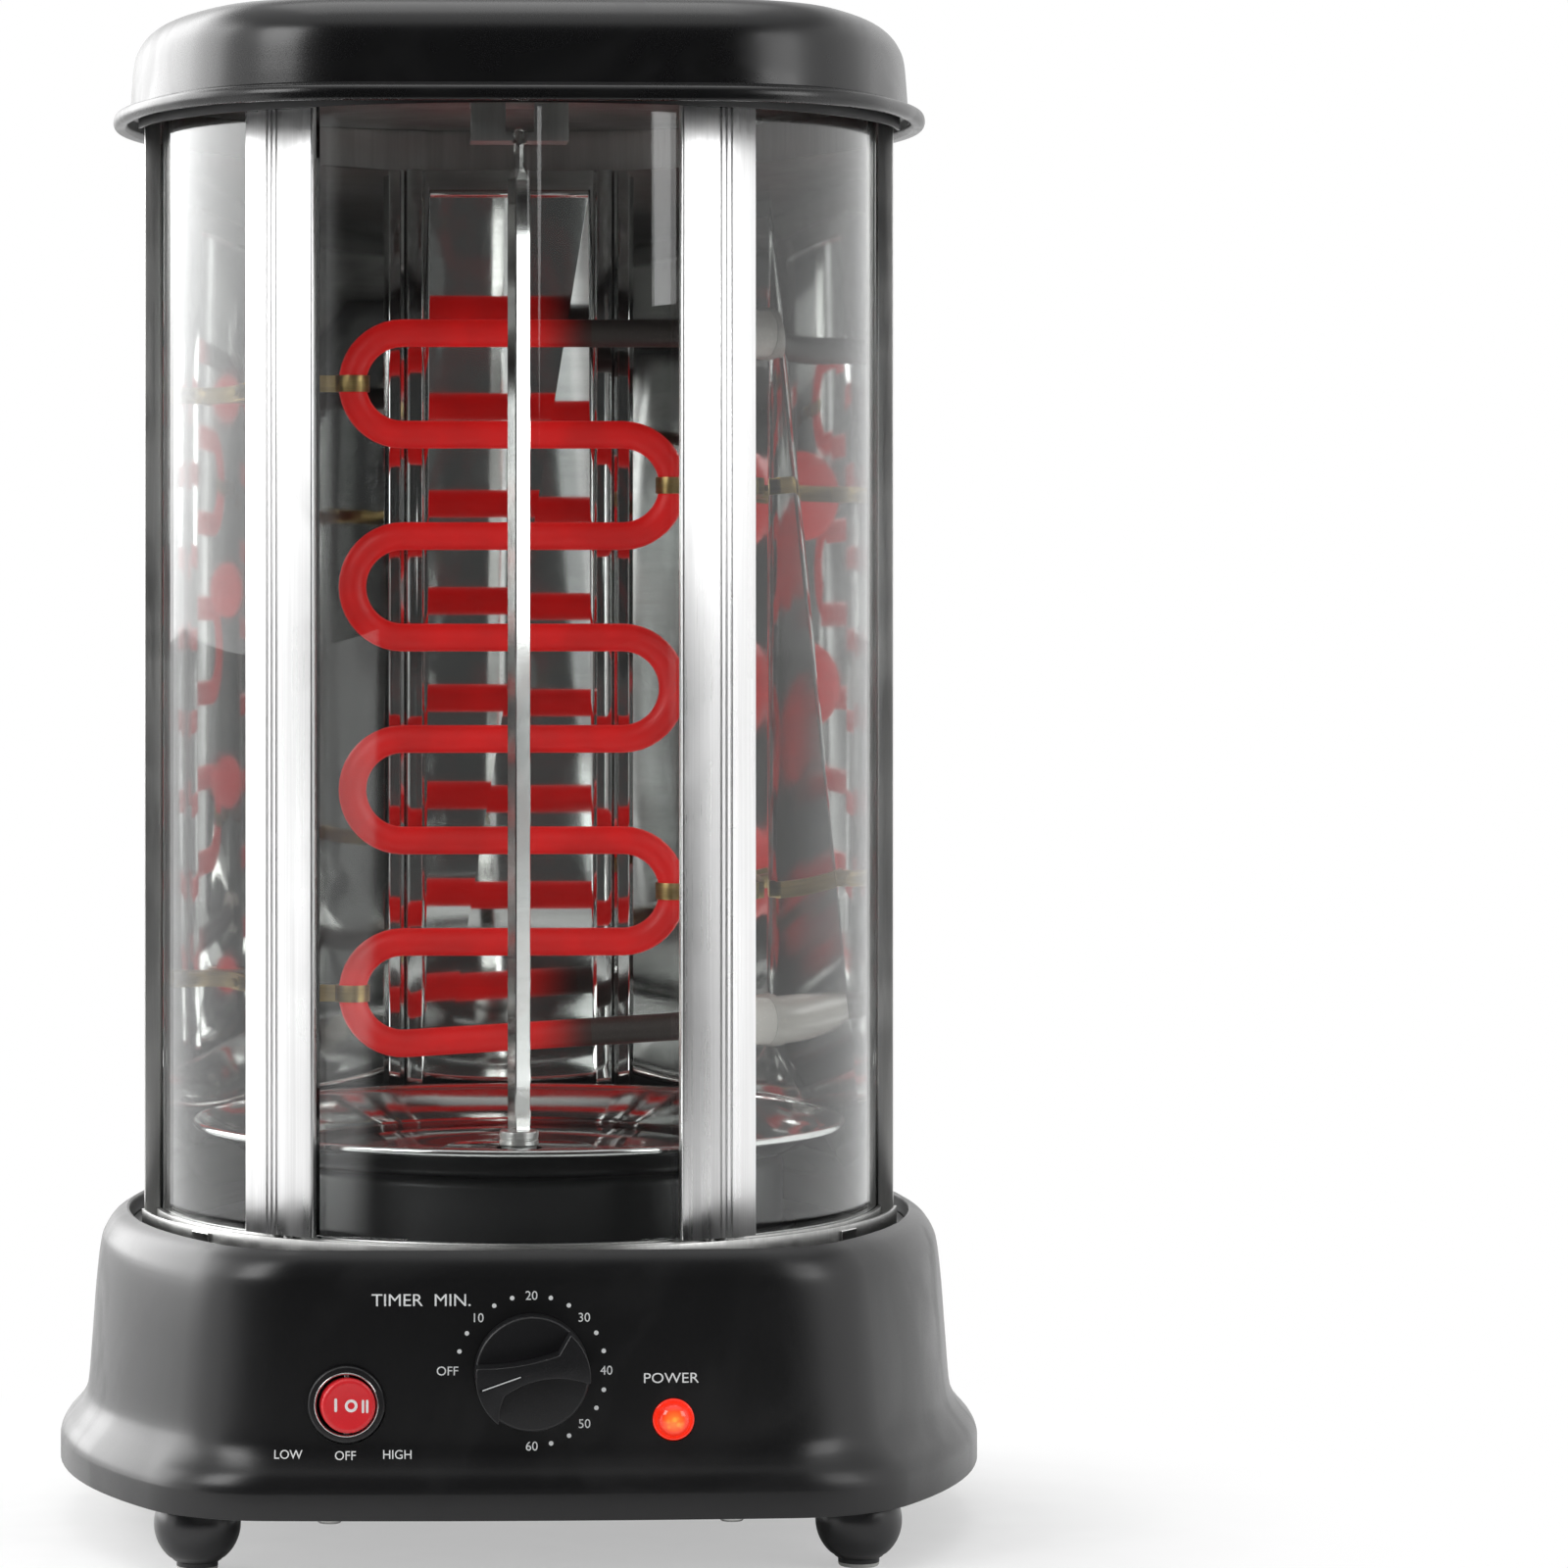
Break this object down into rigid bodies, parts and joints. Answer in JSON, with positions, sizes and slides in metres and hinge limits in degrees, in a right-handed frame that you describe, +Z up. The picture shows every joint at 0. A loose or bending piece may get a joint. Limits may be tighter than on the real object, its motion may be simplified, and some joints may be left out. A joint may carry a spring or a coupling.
{
  "type": "doner kebab grill",
  "caption": "Upright electric doner grill with a turning spit, a round drip pan, a serpentine element, a curved glass front whose middle pane slides round, a timer knob and a rocker switch.",
  "frame": {"origin": "middle of the object's outline at the surface it stands on, on the axis of the spit", "axes": "+Z up along the spit, -Y towards the user, +X to the user's right"},
  "size_m": [0.292, 0.272, 0.4736],
  "materials": {
    "black_enamel": "satin black enamel with a fine speckle",
    "lid_enamel": "satin black enamel, rolled lip polished by handling",
    "polished_steel": "bright polished stainless sheet",
    "brushed_steel": "brushed stainless",
    "reflector_steel": "bright reflector sheet",
    "zinc_steel": "zinc-plated hardware",
    "clear_glass": "clear tempered glass",
    "bar_aluminium": "satin extruded aluminium",
    "element_sheath": "heat-reddened element sheath",
    "cold_sheath": "dark unheated sheath",
    "brass": "dull brass",
    "ceramic": "glazed ceramic",
    "pad_rubber": "pale grey rubber",
    "foot_plastic": "black moulded plastic",
    "knob_plastic": "black moulded plastic, satin",
    "switch_plastic": "black moulded plastic",
    "switch_red": "red translucent plastic, lit from behind",
    "lamp_red": "red translucent lens",
    "seat_enamel": "dark heat-proof enamel",
    "plated_steel": "galvanised sheet",
    "motor_steel": "plated motor can",
    "inner_plastic": "cream moulded plastic"
  },
  "bodies": {
    "grill": {"base_shell": "black_enamel", "bottom_plate": "plated_steel", "feet": "foot_plastic", "foot_pads": "pad_rubber", "foot_screws": "zinc_steel", "bottom_screws": "zinc_steel", "deck_plate": "black_enamel", "pan_seat": "seat_enamel", "drip_pan": "polished_steel", "lower_door_track": "brushed_steel", "upper_door_track": "seat_enamel", "track_clips": "polished_steel", "side_glass_left": "clear_glass", "side_glass_right": "clear_glass", "back_shell": "brushed_steel", "reflector_centre": "reflector_steel", "reflector_left": "reflector_steel", "reflector_right": "reflector_steel", "reflector_brackets": "plated_steel", "lid_cap": "lid_enamel", "lid_plate": "plated_steel", "lid_screws": "zinc_steel", "top_bracket": "brushed_steel", "bracket_screws": "zinc_steel", "deck_bush": "brass", "gear_motor": "motor_steel", "motor_spacers": "zinc_steel", "motor_screws": "zinc_steel", "heating_element": "element_sheath", "element_cold_ends": "cold_sheath", "element_bushes": "ceramic", "element_terminals": "zinc_steel", "element_clips": "brass", "clip_bolts": "brass", "thermal_cutout": "inner_plastic", "timer_body": "motor_steel", "timer_screws": "zinc_steel", "switch_housing": "switch_plastic", "switch_trim_ring": "polished_steel", "lamp_lens": "lamp_red", "lamp_body": "inner_plastic", "cord_gland": "switch_plastic", "terminal_block": "inner_plastic"},
    "spit": {"drive_hub": "zinc_steel", "motor_shaft": "zinc_steel", "spit": "polished_steel"},
    "door": {"door_glass": "clear_glass", "door_bar_left": "bar_aluminium", "door_bar_right": "bar_aluminium", "door_pins": "zinc_steel"},
    "knob": {"timer_knob": "knob_plastic", "timer_shaft": "brass"},
    "rocker": {"switch_button": "switch_red", "switch_pin": "zinc_steel"}
  },
  "joints": [
    {"name": "spit_turn", "type": "hinge", "parent": "grill", "child": "spit", "pos_m": [0, 0, 0.12], "axis": [0, 0, 1], "continuous": true},
    {"name": "door_slide_round", "type": "hinge", "parent": "grill", "child": "door", "pos_m": [0, 0.009, 0.27], "axis": [0, 0, 1], "range_deg": [-34.3, 44.7]},
    {"name": "timer_turn", "type": "hinge", "parent": "grill", "child": "knob", "pos_m": [0, -0.125, 0.0632], "axis": [0, 1, 0], "range_deg": [0, 289]},
    {"name": "switch_rock", "type": "hinge", "parent": "grill", "child": "rocker", "pos_m": [-0.055, -0.11823, 0.0534], "axis": [0, 0, 1], "range_deg": [-18, 0]}
  ]
}
